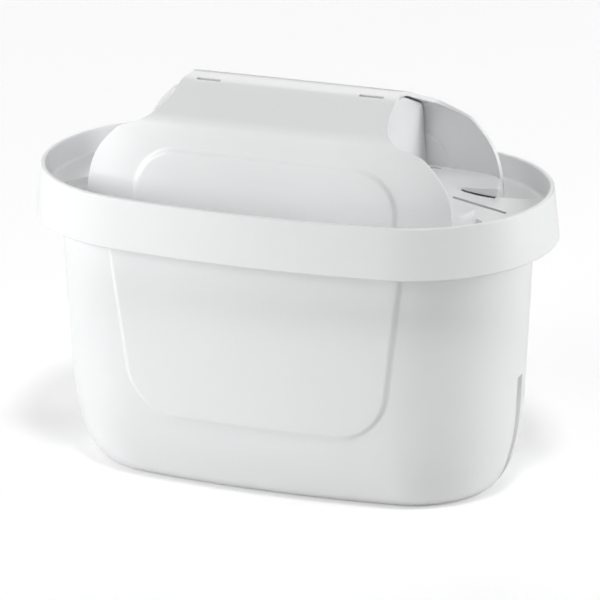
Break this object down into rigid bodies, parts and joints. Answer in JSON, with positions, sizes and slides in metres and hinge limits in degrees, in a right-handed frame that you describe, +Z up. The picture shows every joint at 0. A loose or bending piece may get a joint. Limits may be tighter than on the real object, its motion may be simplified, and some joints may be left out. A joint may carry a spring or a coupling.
{
  "type": "water pitcher filter cartridge",
  "caption": "Oval drop-in filter cartridge: a tapered cup of filter granules under a rimmed lid with an arched finger grip, inlet slits and an outlet in its base.",
  "frame": {"origin": "centre of the cartridge's plan, on the plane that its flat base stands on", "axes": "+X along the longer side of the oval, -Y towards the front of the picture, +Z up through the grip"},
  "size_m": [0.1062, 0.0604, 0.0796],
  "materials": {
    "white_housing": "satin moulded white polypropylene",
    "screen_mesh": "fine woven polypropylene mesh",
    "granules": "loose bed of resin beads and carbon granules"
  },
  "bodies": {
    "root": {"cup": "white_housing", "lid": "white_housing", "inlet_screen": "screen_mesh", "outlet_screen": "screen_mesh", "filter_media": "granules"}
  },
  "joints": []
}
